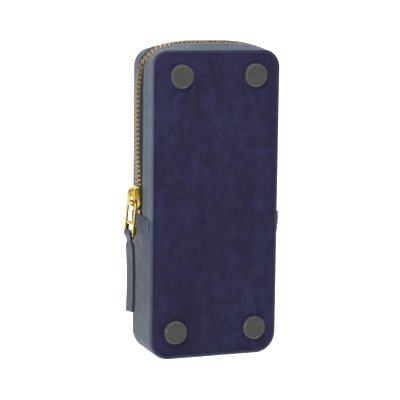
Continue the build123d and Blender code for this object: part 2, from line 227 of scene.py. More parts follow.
def sweep(name, S, mat, closed_u=False, closed_v=True, caps=True):
    v, f = grid(S, closed_u, closed_v, caps)
    return make(name, v, f, mat, True, uv_of(S))


def ground(ob, body, nodes=()):
    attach(ob, body)
    if nodes:
        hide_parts(*nodes)
    return ob


def catmull(P, n):
    """A smooth curve through the rows of P, n points per span."""
    P = np.asarray(P, float)
    Q = np.vstack([2 * P[0] - P[1], P, 2 * P[-1] - P[-2]])
    out = []
    for i in range(1, len(Q) - 2):
        for k in range(n):
            t = k / n
            a, b, c, d = Q[i - 1], Q[i], Q[i + 1], Q[i + 2]
            out.append(0.5 * ((2 * b) + (c - a) * t + (2 * a - 5 * b + 4 * c - d) * t * t + (3 * b - 3 * c + d - a) * t ** 3))
    out.append(P[-1])
    return np.array(out)


def bevelled(poly, thick, off, seg=2):
    """A closed polygon in (a, b), extruded by thick along c and bevelled: (verts, faces)."""
    bm = bmesh.new()
    vs = [bm.verts.new((a, b, -thick / 2)) for a, b in poly]
    f = bm.faces.new(vs)
    r = bmesh.ops.extrude_face_region(bm, geom=[f])
    for v in r["geom"]:
        if isinstance(v, bmesh.types.BMVert):
            v.co.z = thick / 2
    bmesh.ops.recalc_face_normals(bm, faces=bm.faces)
    bmesh.ops.bevel(bm, geom=list(bm.edges), offset=off, segments=seg, profile=0.6, affect="EDGES", clamp_overlap=True)
    bm.verts.ensure_lookup_table()
    V = np.array([v.co[:] for v in bm.verts])
    F = [[v.index for v in f.verts] for f in bm.faces]
    bm.free()
    return V, F


def join(parts):
    """[(V, F), ...] as one (V, F)."""
    VV, FF, n = [], [], 0
    for V, F in parts:
        VV.append(np.asarray(V, float))
        FF += [[i + n for i in f] for f in F]
        n += len(V)
    return np.vstack(VV), FF


# ------------------------------------------------------------------ materials
class Mat:
    """Small helper for node materials."""

    def __init__(self, name):
        self.m = bpy.data.materials.new(name)
        self.m.use_nodes = True
        self.t = self.m.node_tree
        self.p = self.t.nodes["Principled BSDF"]
        self.co = self.t.nodes.new("ShaderNodeTexCoord")

    def n(self, kind, **kw):
        nd = self.t.nodes.new(kind)
        for k, v in kw.items():
            setattr(nd, k, v)
        return nd

    def link(self, a, b):
        self.t.links.new(a, b)

    def mapping(self, scale=(1, 1, 1), src="Object", rot=(0, 0, 0)):
        mp = self.n("ShaderNodeMapping")
        mp.inputs["Scale"].default_value = scale
        mp.inputs["Rotation"].default_value = rot
        self.link(self.co.outputs[src], mp.inputs["Vector"])
        return mp.outputs["Vector"]

    def noise(self, vec, scale, detail=4, rough=0.55, dist=0.0):
        nd = self.n("ShaderNodeTexNoise")
        nd.inputs["Scale"].default_value = scale
        nd.inputs["Detail"].default_value = detail
        nd.inputs["Roughness"].default_value = rough
        nd.inputs["Distortion"].default_value = dist
        self.link(vec, nd.inputs["Vector"])
        return nd.outputs["Fac"]

    def voronoi(self, vec, scale, feature="F1", rand=1.0):
        nd = self.n("ShaderNodeTexVoronoi", feature=feature)
        nd.inputs["Scale"].default_value = scale
        nd.inputs["Randomness"].default_value = rand
        self.link(vec, nd.inputs["Vector"])
        return nd.outputs["Distance"]

    def wave(self, vec, scale, direction="X", dist=0.0, profile="SIN"):
        nd = self.n("ShaderNodeTexWave", wave_type="BANDS", bands_direction=direction, wave_profile=profile)
        nd.inputs["Scale"].default_value = scale
        nd.inputs["Distortion"].default_value = dist
        self.link(vec, nd.inputs["Vector"])
        return nd.outputs["Fac"]

    def ramp(self, fac, stops, interp="LINEAR"):
        nd = self.n("ShaderNodeValToRGB")
        cr = nd.color_ramp
        cr.interpolation = interp
        while len(cr.elements) < len(stops):
            cr.elements.new(0.5)
        for el, (pos, col) in zip(cr.elements, stops):
            el.position = pos
            el.color = (*col, 1) if len(col) == 3 else col
        self.link(fac, nd.inputs["Fac"])
        return nd.outputs["Color"]

    def math(self, op, a, b=None, clamp=False):
        nd = self.n("ShaderNodeMath", operation=op, use_clamp=clamp)
        for i, v in enumerate((a, b)):
            if v is None:
                continue
            if isinstance(v, (int, float)):
                nd.inputs[i].default_value = v
            else:
                self.link(v, nd.inputs[i])
        return nd.outputs[0]

    def rng(self, fac, a, b, c, d):
        nd = self.n("ShaderNodeMapRange")
        for i, v in zip((1, 2, 3, 4), (a, b, c, d)):
            nd.inputs[i].default_value = v
        self.link(fac, nd.inputs[0])
        return nd.outputs[0]

    def mix(self, fac, a, b, blend="MIX"):
        nd = self.n("ShaderNodeMix", data_type="RGBA", blend_type=blend)
        for i, v in ((0, fac), (6, a), (7, b)):
            if isinstance(v, (int, float)):
                nd.inputs[i].default_value = v
            elif isinstance(v, tuple):
                nd.inputs[i].default_value = (*v, 1)
            else:
                self.link(v, nd.inputs[i])
        return nd.outputs[2]

    def bump(self, height, dist, strength=1.0, normal=None):
        nd = self.n("ShaderNodeBump")
        nd.inputs["Strength"].default_value = strength
        nd.inputs["Distance"].default_value = dist
        self.link(height, nd.inputs["Height"])
        if normal is not None:
            self.link(normal, nd.inputs["Normal"])
        return nd.outputs["Normal"]

    def out(self, color=None, rough=None, normal=None, metal=None, **const):
        if color is not None:
            self.link(color, self.p.inputs["Base Color"])
        if rough is not None:
            self.link(rough, self.p.inputs["Roughness"])
        if normal is not None:
            self.link(normal, self.p.inputs["Normal"])
        if metal is not None:
            self.p.inputs["Metallic"].default_value = metal
        for k, v in const.items():
            self.p.inputs[k.replace("_", " ")].default_value = v
        return self.m


def leather(name, base, dark, light, rough=(0.36, 0.52), grain=1.0, edge=0.5, spec=0.30):
    m = Mat(name)
    v = m.mapping()
    big = m.noise(v, 45, 3, 0.5)
    mid = m.noise(v, 260, 4, 0.6)
    warp = m.n("ShaderNodeVectorMath", operation="MULTIPLY_ADD")
    nz = m.n("ShaderNodeTexNoise")
    nz.inputs["Scale"].default_value = 500
    nz.inputs["Detail"].default_value = 2
    m.link(v, nz.inputs["Vector"])
    m.link(nz.outputs["Color"], warp.inputs[0])
    warp.inputs[1].default_value = (0.0009, 0.0009, 0.0009)
    m.link(v, warp.inputs[2])
    cells = m.voronoi(warp.outputs[0], 1250, "DISTANCE_TO_EDGE")
    pores = m.voronoi(warp.outputs[0], 2600, "F1")
    fine = m.noise(v, 5200, 3, 0.6)
    crease = m.rng(cells, 0.0, 0.16, 0.0, 1.0)
    col = m.ramp(big, [(0.30, dark), (0.52, base), (0.74, light)])
    col = m.mix(m.rng(mid, 0.35, 0.7, 0.0, 0.55), col, dark)
    col = m.mix(m.rng(crease, 0.0, 1.0, 0.35, 0.0), col, tuple(c * 0.45 for c in dark))
    col = m.mix(m.rng(pores, 0.0, 0.12, 0.35, 0.0), col, tuple(c * 0.35 for c in dark))
    geo = m.n("ShaderNodeNewGeometry")
    # convex edges lighter, scaled by edge: partly rubbed wear, partly painted highlight
    wear_and_highlight = m.rng(geo.outputs["Pointiness"], 0.512, 0.56, 0.0, edge)
    wear_and_highlight = m.math("MULTIPLY", wear_and_highlight, m.rng(mid, 0.3, 0.65, 0.5, 1.0))
    col = m.mix(wear_and_highlight, col, tuple(min(1, c * 1.7 + 0.02) for c in light))
    r = m.rng(mid, 0.3, 0.7, rough[0], rough[1])
    h = m.math("ADD", m.math("MULTIPLY", crease, 0.7), m.math("MULTIPLY", fine, 0.22))
    h = m.math("ADD", h, m.math("MULTIPLY", mid, 0.5))
    nrm = m.bump(h, 0.00007 * grain, 0.8)
    return m.out(col, r, nrm, Specular_IOR_Level=spec)


def rim_leather(name, painted_shade_front):
    """The gusset's leather. For the front rim, the band that turns into the face gets painted shade, kept lighter on
    the left where the light falls, and the rim is darker below about 77 mm.
    """
    mat = leather(name, (0.094, 0.119, 0.158), (0.068, 0.087, 0.120), (0.122, 0.152, 0.196))
    if not painted_shade_front:
        return mat
    t = mat.node_tree
    p = t.nodes["Principled BSDF"]
    src = p.inputs["Base Color"].links[0].from_socket
    co = next(n for n in t.nodes if n.type == "TEX_COORD")
    sep = t.nodes.new("ShaderNodeSeparateXYZ")
    t.links.new(co.outputs["Object"], sep.inputs[0])
    nz = t.nodes.new("ShaderNodeTexNoise")
    nz.inputs["Scale"].default_value = 1500
    nz.inputs["Detail"].default_value = 4
    t.links.new(co.outputs["Object"], nz.inputs["Vector"])
    off = t.nodes.new("ShaderNodeMath")
    off.operation = "MULTIPLY_ADD"
    t.links.new(nz.outputs["Fac"], off.inputs[0])
    off.inputs[1].default_value = 0.0014
    t.links.new(sep.outputs["Y"], off.inputs[2])
    # painted shade: the rim's front-facing band is darkened towards near-black navy
    front_shade_mask = t.nodes.new("ShaderNodeMapRange")
    front_shade_mask.interpolation_type = "SMOOTHSTEP"
    front_shade_mask.inputs[1].default_value = -0.0131
    front_shade_mask.inputs[2].default_value = -0.0145
    front_shade_mask.inputs[3].default_value = 0.0
    front_shade_mask.inputs[4].default_value = 1.0
    t.links.new(off.outputs[0], front_shade_mask.inputs[0])
    front_shade_mix = t.nodes.new("ShaderNodeMix")
    front_shade_mix.data_type = "RGBA"
    # painted light: on the left side, which faces the light, the painted shade is mostly held back
    left = t.nodes.new("ShaderNodeMapRange")
    left.inputs[1].default_value = -0.0374
    left.inputs[2].default_value = -0.0350
    left.inputs[3].default_value = 0.15
    left.inputs[4].default_value = 1.0
    t.links.new(sep.outputs["X"], left.inputs[0])
    mul = t.nodes.new("ShaderNodeMath")
    mul.operation = "MULTIPLY"
    t.links.new(front_shade_mask.outputs[0], mul.inputs[0])
    t.links.new(left.outputs[0], mul.inputs[1])
    t.links.new(mul.outputs[0], front_shade_mix.inputs[0])
    # the rim is darker below about 77 mm, towards the lower gusset's tone
    low = t.nodes.new("ShaderNodeMapRange")
    low.inputs[1].default_value = 0.0765
    low.inputs[2].default_value = 0.0790
    low.inputs[3].default_value = 0.85
    low.inputs[4].default_value = 0.0
    t.links.new(sep.outputs["Z"], low.inputs[0])
    lx = t.nodes.new("ShaderNodeMix")
    lx.data_type = "RGBA"
    t.links.new(low.outputs[0], lx.inputs[0])
    t.links.new(src, lx.inputs[6])
    lx.inputs[7].default_value = (0.044, 0.060, 0.090, 1)
    src = lx.outputs[2]
    t.links.new(src, front_shade_mix.inputs[6])
    front_shade_mix.inputs[7].default_value = (0.010, 0.012, 0.032, 1)
    t.links.new(front_shade_mix.outputs[2], p.inputs["Base Color"])
    return mat


def suede():
    m = Mat("suede_plum_navy")
    v = m.mapping()
    vs = m.mapping((1.6, 1.0, 0.42))
    big = m.noise(vs, 42, 5, 0.62, 0.6)
    blot = m.noise(v, 140, 5, 0.65, 0.4)
    nap = m.noise(m.mapping((1.0, 1.0, 0.35), rot=(0, 0.18, 0)), 900, 4, 0.65)
    fib = m.noise(v, 4200, 3, 0.7)
    col = m.ramp(big, [(0.28, (0.0110, 0.0103, 0.0265)), (0.45, (0.0168, 0.0160, 0.0450)), (0.60, (0.0204, 0.0202, 0.0615)), (0.78, (0.0290, 0.0296, 0.0830))])
    col = m.mix(m.rng(blot, 0.38, 0.66, 0.0, 0.75), col, (0.0105, 0.0095, 0.0225))
    col = m.mix(m.rng(nap, 0.5, 0.75, 0.0, 0.45), col, (0.039, 0.039, 0.094))
    spk = m.voronoi(v, 620, "F1")
    spk2 = m.noise(v, 300, 2, 0.5)
    s = m.math("MULTIPLY", m.rng(spk, 0.0, 0.16, 1.0, 0.0), m.rng(spk2, 0.62, 0.72, 0.0, 0.6))
    col = m.mix(s, col, (0.16, 0.16, 0.28))
    col = m.mix(m.rng(fib, 0.35, 0.7, 0.35, 0.0), col, (0.010, 0.008, 0.022))
    r = m.rng(nap, 0.3, 0.7, 0.82, 0.98)
    h = m.math("ADD", m.math("MULTIPLY", nap, 0.6), m.math("MULTIPLY", fib, 0.5))
    h = m.math("ADD", h, m.math("MULTIPLY", blot, 0.6))
    nrm = m.bump(h, 0.00016, 0.9)
    return m.out(col, r, nrm, Specular_IOR_Level=0.07, Sheen_Weight=0.07, Sheen_Roughness=0.5, Sheen_Tint=(0.5, 0.5, 0.85, 1))


def weave(name, a, b, pitch_u, pitch_v, src="UV", height=0.00008, rough=(0.75, 0.9), twill=True):
    """A woven cloth; pitches in the units of the coordinates."""
    m = Mat(name)
    v = m.mapping((1, 1, 1), src)
    wu = m.wave(v, 1.0 / pitch_u * 0.5 / pi * 2 * pi / 2, "X")
    wv = m.wave(v, 1.0 / pitch_v * 0.5 / pi * 2 * pi / 2, "Y")
    wd = m.wave(v, 1.0 / (pitch_u * 2.1), "DIAGONAL")
    h = m.math("MULTIPLY", wu, wv)
    if twill:
        h = m.math("ADD", m.math("MULTIPLY", h, 0.55), m.math("MULTIPLY", wd, 0.6))
    n1 = m.noise(m.mapping(), 350, 4, 0.6)
    n2 = m.noise(m.mapping(), 5000, 2, 0.6)
    col = m.mix(m.rng(h, 0.1, 0.9, 0.0, 1.0), a, b)
    col = m.mix(m.rng(n1, 0.35, 0.7, 0.0, 0.5), col, tuple(c * 0.5 for c in a))
    r = m.rng(n2, 0.3, 0.7, rough[0], rough[1])
    hh = m.math("ADD", h, m.math("MULTIPLY", n2, 0.5))
    return m.out(col, r, m.bump(hh, height, 0.9), Specular_IOR_Level=0.2, Sheen_Weight=0.15, Sheen_Roughness=0.5)


def metal(name, base, dark, rough, edge_highlight, cavity_shade=0.8, fine=0.00001):
    m = Mat(name)
    v = m.mapping()
    geo = m.n("ShaderNodeNewGeometry")
    n1 = m.noise(v, 900, 4, 0.6)
    n2 = m.noise(m.mapping((1, 1, 0.15)), 9000, 3, 0.6)
    col = m.mix(m.rng(n1, 0.35, 0.7, 0.0, 0.35), base, dark)
    # painted shade: hollows (low pointiness) darkened towards the dark tone
    col = m.mix(m.rng(geo.outputs["Pointiness"], 0.44, 0.50, cavity_shade, 0.0), col, tuple(c * 0.35 for c in dark))
    # painted highlight: convex edges lightened towards a pale tint
    col = m.mix(m.rng(geo.outputs["Pointiness"], 0.51, 0.60, 0.0, 0.8), col, edge_highlight)
    r = m.rng(n1, 0.3, 0.7, rough[0], rough[1])
    h = m.math("ADD", m.math("MULTIPLY", n2, 0.3), m.math("MULTIPLY", n1, 0.8))
    return m.out(col, r, m.bump(h, fine, 0.6), 1.0)


def rubber():
    m = Mat("rubber_grey_green")
    v = m.mapping()
    n1 = m.noise(v, 500, 4, 0.6)
    n2 = m.noise(v, 4500, 3, 0.65)
    pits = m.voronoi(v, 1900, "F1")
    geo = m.n("ShaderNodeNewGeometry")
    col = m.ramp(n1, [(0.3, (0.026, 0.026, 0.023)), (0.55, (0.036, 0.036, 0.031)), (0.75, (0.050, 0.050, 0.042))])
    col = m.mix(m.rng(pits, 0.0, 0.18, 0.5, 0.0), col, (0.020, 0.020, 0.018))
    # painted highlight: the feet's convex rims lightened
    col = m.mix(m.rng(geo.outputs["Pointiness"], 0.51, 0.58, 0.0, 0.5), col, (0.19, 0.19, 0.165))
    h = m.math("ADD", m.math("MULTIPLY", n2, 0.6), m.rng(pits, 0.0, 0.2, 0.0, 0.7))
    return m.out(col, m.rng(n1, 0.3, 0.7, 0.62, 0.8), m.bump(h, 0.00006, 0.8), Specular_IOR_Level=0.35)


def thread_mat(name, a, b):
    m = Mat(name)
    v = m.mapping()
    n1 = m.noise(v, 3500, 3, 0.6)
    w = m.wave(v, 700, "DIAGONAL", 1.0)
    col = m.mix(m.rng(w, 0.2, 0.8, 0.0, 1.0), a, b)
    h = m.math("ADD", m.math("MULTIPLY", w, 0.7), m.math("MULTIPLY", n1, 0.4))
    return m.out(col, m.rng(n1, 0.3, 0.7, 0.6, 0.8), m.bump(h, 0.00006, 0.9), Sheen_Weight=0.2)


def board_mat():
    m = Mat("fibre_board")
    v = m.mapping()
    n1, n2 = m.noise(v, 300, 5, 0.65), m.noise(v, 3000, 3, 0.7)
    col = m.ramp(n1, [(0.3, (0.16, 0.13, 0.10)), (0.55, (0.25, 0.21, 0.165)), (0.75, (0.33, 0.28, 0.22))])
    col = m.mix(m.rng(n2, 0.4, 0.7, 0.0, 0.5), col, (0.12, 0.10, 0.08))
    return m.out(col, m.rng(n1, 0.3, 0.7, 0.8, 0.95), m.bump(n2, 0.00008, 0.8))


LEA = leather("leather_blue_grey", (0.088, 0.110, 0.146), (0.062, 0.078, 0.108), (0.116, 0.142, 0.182))
LEA_LOW = leather("leather_lower_gusset", (0.043, 0.059, 0.088), (0.029, 0.041, 0.063), (0.060, 0.080, 0.115), spec=0.14)
# painted shade: a darker copy of the blue-grey leather for the lid's strip, standing in for the shadow the zip's teeth
# cast on it
LEA_LID_PAINTED_SHADE = leather("leather_lid_strip_painted_shade", (0.060, 0.074, 0.102), (0.042, 0.053, 0.075), (0.080, 0.098, 0.130))
LEA_STRAP = leather("leather_strap", (0.072, 0.089, 0.124), (0.050, 0.063, 0.090), (0.094, 0.114, 0.152), edge=0.35)
EDGE = leather("leather_edge_paint", (0.012, 0.012, 0.014), (0.007, 0.007, 0.009), (0.026, 0.026, 0.028), (0.45, 0.6), 0.6, 0.3)
RIM = rim_leather("leather_rim_front_painted_shade", True)
SUEDE = suede()
TAPE = weave("zip_tape_cloth", (0.010, 0.012, 0.022), (0.030, 0.034, 0.055), 0.55, 0.5)
LINING = weave("lining_cloth", (0.022, 0.026, 0.040), (0.045, 0.052, 0.078), 0.0006, 0.0006, "Object")
TEETH = metal("teeth_antique_brass", (0.205, 0.140, 0.060), (0.050, 0.034, 0.018), (0.26, 0.42), (0.85, 0.60, 0.27), 1.0)
GOLD = metal("polished_gold", (0.56, 0.41, 0.085), (0.34, 0.215, 0.03), (0.16, 0.26), (0.95, 0.80, 0.40), 1.0)
RUBBER = rubber()
THREAD = thread_mat("thread_navy", (0.015, 0.025, 0.085), (0.035, 0.055, 0.16))
THREAD2 = thread_mat("thread_grey_blue", (0.046, 0.058, 0.080), (0.078, 0.096, 0.128))
BOARD = board_mat()

# ------------------------------------------------------------------ camera and light
yaw, pitch, roll, dist = rad(20.71), rad(8.05), rad(0.65), 0.859
fwd = Vector((sin(yaw) * cos(pitch), cos(yaw) * cos(pitch), -sin(pitch)))
right = Vector((cos(yaw), -sin(yaw), 0))
upv = right.cross(fwd)
r2 = cos(roll) * right + sin(roll) * upv
u2 = -sin(roll) * right + cos(roll) * upv
loc = Vector((-0.00306, 0, 0.08586)) - fwd * dist
cam_data = bpy.data.cameras.new("camera")
cam_data.sensor_width = 36
cam_data.lens = 1541 / 400 * 36
cam_data.clip_start, cam_data.clip_end = 0.05, 20
cam = bpy.data.objects.new("camera", cam_data)
scene.collection.objects.link(cam)
cam.matrix_world = Matrix(((r2.x, u2.x, -fwd.x, loc.x), (r2.y, u2.y, -fwd.y, loc.y), (r2.z, u2.z, -fwd.z, loc.z), (0, 0, 0, 1)))
scene.camera = cam


def area(name, pos, target, size, power, color=(1, 1, 1)):
    ld = bpy.data.lights.new(name, "AREA")
    ld.shape = "RECTANGLE"
    ld.size, ld.size_y = size
    ld.energy = power
    ld.color = color
    ob = bpy.data.objects.new(name, ld)
    ob.location = pos
    ob.rotation_euler = (Vector(target) - Vector(pos)).to_track_quat("-Z", "Y").to_euler()
    scene.collection.objects.link(ob)
    return ob


area("key", (-0.62, -0.66, 0.80), (0, 0, 0.10), (0.34, 0.34), 5.6, (1.0, 0.985, 0.96))
area("fill_front", (0.45, -1.25, 0.45), (0, 0, 0.09), (0.6, 0.7), 0.7, (0.96, 0.98, 1.0))
area("top", (-0.05, -0.30, 0.80), (0, 0, 0.13), (0.35, 0.35), 5.6)
world = bpy.data.worlds.new("world")
scene.world = world
world.use_nodes = True
bg = world.node_tree.nodes["Background"]
bg.inputs["Color"].default_value = (0.93, 0.96, 1.0, 1)
bg.inputs["Strength"].default_value = 0.16
scene.view_settings.view_transform = "Standard"
scene.view_settings.look = "None"
scene.view_settings.exposure = 0.0
scene.view_settings.gamma = 1.0

# floor and backdrop: one plain pale sheet that curves up behind the case
fl = Mat("plain_pale_floor")
fl.p.inputs["Base Color"].default_value = (0.9, 0.9, 0.9, 1)
fl.p.inputs["Roughness"].default_value = 0.9
fl.p.inputs["Emission Color"].default_value = (1, 1, 1, 1)
fl.p.inputs["Emission Strength"].default_value = 0.85
prof = [(-2.5, 0.0), (1.2, 0.0)] + [(1.2 + 0.8 * sin(rad(a)), 0.8 - 0.8 * cos(rad(a))) for a in range(10, 91, 10)] + [(2.0, 3.0)]
fv, ff = [], []
for i, (y, z) in enumerate(prof):
    fv += [(-3.0, y, z - 0.0001), (3.0, y, z - 0.0001)]
    if i:
        ff.append((2 * i - 2, 2 * i - 1, 2 * i + 1, 2 * i))
fme = bpy.data.meshes.new("floor")
fme.from_pydata(fv, [], ff)
fme.polygons.foreach_set("use_smooth", [True] * len(fme.polygons))
floor = bpy.data.objects.new("floor", fme)
fme.materials.append(fl.m)
scene.collection.objects.link(floor)
floor.rotation_euler = (0, 0, -yaw)

# ------------------------------------------------------------------ front panel, suede
LOOP = loop_path()


def panel(name, mat, y_face, sgn, inset, crease=None, crown=0.12):
    """A flat face inside the rim that rolls under at its edge. sgn is -1 for the front face, +1 for the back."""
    rings = [0.0, 0.18, 0.45, 0.8, 1.3, 2.2, 3.6, 5.6, 8.2]
    S = []
    for d in rings:
        drop = 0.55 * (1 - smooth01(d / 0.85)) ** 1.5
        row = []
        for s in LOOP:
            dd = inset + d
            x, z = s.x - s.nx * dd, s.z - s.nz * dd
            row.append((x, z, drop))
        S.append(row)
    verts = []
    for row in S:
        for x, z, drop in row:
            verts.append([x, z, drop])
    m = len(LOOP)
    faces = []
    for i in range(len(S) - 1):
        for k in range(m):
            l = (k + 1) % m
            faces.append((i * m + k, i * m + l, (i + 1) * m + l, (i + 1) * m + k))
    # inner region: rows across
    base = (len(S) - 1) * m
    inner = list(range(base, base + m))
    pts = np.array([[verts[i][0], verts[i][1]] for i in inner])
    bm = bmesh.new()
    bv = [bm.verts.new((v[0], v[1], v[2])) for v in verts]
    for f in faces:
        bm.faces.new([bv[i] for i in f])
    f = bm.faces.new([bv[i] for i in inner])
    # cut the middle into a lattice so that it can be crowned and folded
    zs = [z for z in np.arange(12, 162, 4.0)] + ([Z_FOLD - 1.4, Z_FOLD - 0.7, Z_FOLD, Z_FOLD + 0.7, Z_FOLD + 1.4] if crease else [])
    for z in sorted(zs):
        bmesh.ops.bisect_plane(bm, geom=bm.verts[:] + bm.edges[:] + bm.faces[:], plane_co=(0, z, 0), plane_no=(0, 1, 0), dist=1e-5)
    for x in np.arange(-28, 29, 4.0):
        bmesh.ops.bisect_plane(bm, geom=bm.verts[:] + bm.edges[:] + bm.faces[:], plane_co=(x, 0, 0), plane_no=(1, 0, 0), dist=1e-5)
    bm.verts.ensure_lookup_table()
    for v in bm.verts:
        x, z, drop = v.co
        d = min(HALF - abs(x), z, H - z)
        c = crown * smooth01((d - 2) / 14.0)
        y = y_face - sgn * drop + sgn * c + sgn * 0.05 * wob(x * 0.35, z * 0.21)
        if crease:
            y -= sgn * crease * math.exp(-((z - Z_FOLD) / 0.75) ** 2)
        v.co = (x * MM, y * MM, z * MM)
    bmesh.ops.recalc_face_normals(bm, faces=bm.faces)
    me = bpy.data.meshes.new(name)
    bm.to_mesh(me)
    bm.free()
    # a back face closes the sheet
    me.polygons.foreach_set("use_smooth", [True] * len(me.polygons))
    me.materials.append(mat)
    ob = bpy.data.objects.new(name, me)
    scene.collection.objects.link(ob)
    so = ob.modifiers.new("thick", "SOLIDIFY")
    so.thickness = 0.9 * MM
    so.offset = -1
    so.use_even_offset = False
    return ob


def face_out(ob, sgn):
    """Makes an open sheet's normals point along sgn * Y."""
    me = ob.data
    bm = bmesh.new()
    bm.from_mesh(me)
    if sum(f.normal.y * f.calc_area() for f in bm.faces) * sgn < 0:
        bmesh.ops.reverse_faces(bm, faces=bm.faces)
    bm.to_mesh(me)
    bm.free()


suede_ob = panel("suede_front", SUEDE, -D / 2, -1, 1.45)
face_out(suede_ob, -1)
ground(suede_ob, "base", ["base_panel"])


# ------------------------------------------------------------------ rims
def rim_section(s, sgn, i):
    """Turned rim: rounded outer edge, a soft front band, and its inner edge pressed into the face."""
    w = 0.05 * wob(i * 0.35)
    pts = []
    yf = D / 2
    # (inset from the outline, depth from the face)
    prof = [(0.10, 2.30), (-0.02, 2.05), (-0.06, 1.7), (-0.03, 1.35)]
    for a in (15, 30, 45, 60, 75):
        prof.append((1.3 - 1.32 * cos(rad(a)), 1.3 - 1.32 * sin(rad(a))))
    prof += [(1.25, -0.03), (1.5, -0.04), (1.68, 0.0), (1.82, 0.10), (1.92, 0.26), (1.95, 0.50), (1.90, 0.9), (1.3, 1.5), (0.6, 2.3)]
    for d, y in prof:
        pts.append(s.at(sgn * (yf - y), -d + (w if y > 0.4 and d < 1 else 0)))
    return pts


rim_f = sweep("rim_front", [rim_section(s, -1, i) for i, s in enumerate(LOOP)], RIM, closed_u=True)
ground(rim_f, "base", ["base_rim"])
rim_b = sweep("rim_back", [rim_section(s, 1, i) for i, s in enumerate(LOOP)], LEA, closed_u=True)
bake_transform(rim_b)
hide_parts("lid_rim", "back_rim_lower")

back = panel("back_leather", LEA, D / 2, 1, 1.75, crease=0.35)
face_out(back, 1)
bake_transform(back)
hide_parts("lid_panel", "back_panel_lower")


# ------------------------------------------------------------------ upper gusset strips
def strip_h(k, e):
    """Outer height of the strip at k, 0 at the rim and 1 at its zip edge."""
    groove = 0.26 * math.exp(-((k - 0.47) / 0.10) ** 2)
    return -0.12 * (1 - smooth01(k / 0.12)) + e * k + 0.30 * sin(pi * min(k, 1)) * min(1.0, 0.35 + e / 3) - groove


def strip_section(s, sgn, i):
    yr, ye, r = Y_RIM + 0.05, Y_EDGE, 0.52
    pts = []
    n = 18
    for j in range(n + 1):
        k = j / n * (1 - r / (yr - ye))
        pts.append((yr - (yr - ye) * k, strip_h(k, s.e) + 0.04 * wob(i * 0.17, k * 4)))
    hc = pts[-1][1] - r
    for a in (68, 46, 24, 0, -24, -46, -68, -90):
        pts.append((ye + r - r * cos(rad(a)), hc + r * sin(rad(a))))
    pts += [(ye + 2.5, hc - r - 0.05), (yr - 2.0, -T_GUS - 0.1 + 0.15 * s.e), (yr, -T_GUS)]
    return [s.at(sgn * y, h) for y, h in pts]


ups = upper(74.6, 76.6)
near = sweep("gusset_strip_base", [strip_section(s, -1, i) for i, s in enumerate(ups)], LEA)
ground(near, "base", ["base_gusset"])
upl = upper(78.2, 78.2)
far = sweep("gusset_strip_lid", [strip_section(s, 1, i + 40) for i, s in enumerate(upl)], LEA_LID_PAINTED_SHADE)
ground(far, "lid", ["lid_gusset"])


# ------------------------------------------------------------------ zip tapes
def tape_section(s, sgn):
    hc, t = s.b - TOOTH_H / 2 - 0.05, T_TAPE / 2
    u = [-T_GUS + (s.e - T_SKIVE + T_GUS) * (Y_RIM - y) / (Y_RIM - Y_EDGE) - 0.10 for y in (11.2, 8.0, 5.3)]
    yi = 1.6 if (abs(s.z) < 87 and abs(s.nx) > 0.9) else 1.0
    mid = [(11.2, u[0] - t), (8.0, u[1] - t), (5.6, u[2] - t), (4.9, u[2] - t + 0.25 * (hc - u[2] + t)),
           (4.1, u[2] - t + 0.80 * (hc - u[2] + t)), (3.5, hc), (2.6, hc), (yi, hc)]
    up_ = [(y, h + t) for y, h in mid] + [(yi - 0.05, mid[-1][1] + 0.1), (yi - 0.05, mid[-1][1] - 0.1)]
    lo_ = [(y, h - t) for y, h in reversed(mid)]
    return [s.at(sgn * y, h) for y, h in up_ + lo_]


for sgn, body, node in ((-1, "base", "zip_tape_base"), (1, "lid", "zip_tape_lid")):
    st = upper(76.6, 76.6)
    ob = sweep("tape_" + body, [tape_section(s, sgn) for s in st], TAPE)
    ground(ob, body, [node])


# ------------------------------------------------------------------ teeth
def chain():
    pts = []
    n = int((CZT - 77) / 0.5)
    st = [side(77 + (CZT - 77) * i / n, -1) for i in range(n)]
    st += [corner(1.5 * i, -1) for i in range(60)]
    st += [top(-CXT + 2 * CXT * i / 110) for i in range(110)]
    st += [corner(90 - 1.5 * i, 1) for i in range(60)]
    st += [side(CZT - (CZT - 77) * i / n, 1) for i in range(n + 1)]
    P = np.array([s.at(0, s.b - TOOTH_H / 2 - 0.05) for s in st])[:, [0, 2]]
    Dd = np.concatenate([[0], np.cumsum(np.linalg.norm(np.diff(P, axis=0), axis=1))])
    return P, Dd


CP, CD = chain()


def on_chain(s):
    def p(q):
        return np.array([np.interp(q, CD, CP[:, 0]), np.interp(q, CD, CP[:, 1])])
    a, c = p(s - 1.2), p(s + 1.2)
    t = (c - a) / np.linalg.norm(c - a)
    return p(s), t


def tooth_mesh(sgn):
    """Head, waist and two legs that grip the tape. Axes: a across the zip (towards the other side), b outwards, c along."""
    t, a = T_TAPE / 2 + 0.06, TOOTH_H / 2
    poly = [(0.92, 0.62), (0.72, 1.02), (0.30, 1.30), (-0.30, a), (-1.55, a), (-2.20, a - 0.12), (-2.72, a - 0.48), (-2.90, a - 0.92), (-2.90, t),
            (-0.93, t), (-0.93, -t), (-2.90, -t), (-2.90, -a + 0.92), (-2.72, -a + 0.48), (-2.20, -a + 0.12), (-1.55, -a), (-0.30, -a), (0.30, -1.30), (0.72, -1.02), (0.92, -0.62)]
    V, F = bevelled(poly, 1.06, 0.14, 2)
    # the head is a little thinner than the legs
    for v in V:
        k = smooth01((v[0] + 0.9) / 1.2)
        v[2] *= 1.06 - 0.18 * k
    V[:, 0] *= sgn
    return V, F


s_l = float(np.interp(Z_TEETH_L, CP[: int(len(CP) * 0.3), 1], CD[: int(len(CP) * 0.3)]))
S_L = Z_TEETH_L - 77.0
S_R = CD[-1] - (Z_TEETH_R - 77.0)
N_T = int((S_R - S_L) / PITCH)
rng = np.random.RandomState(7)


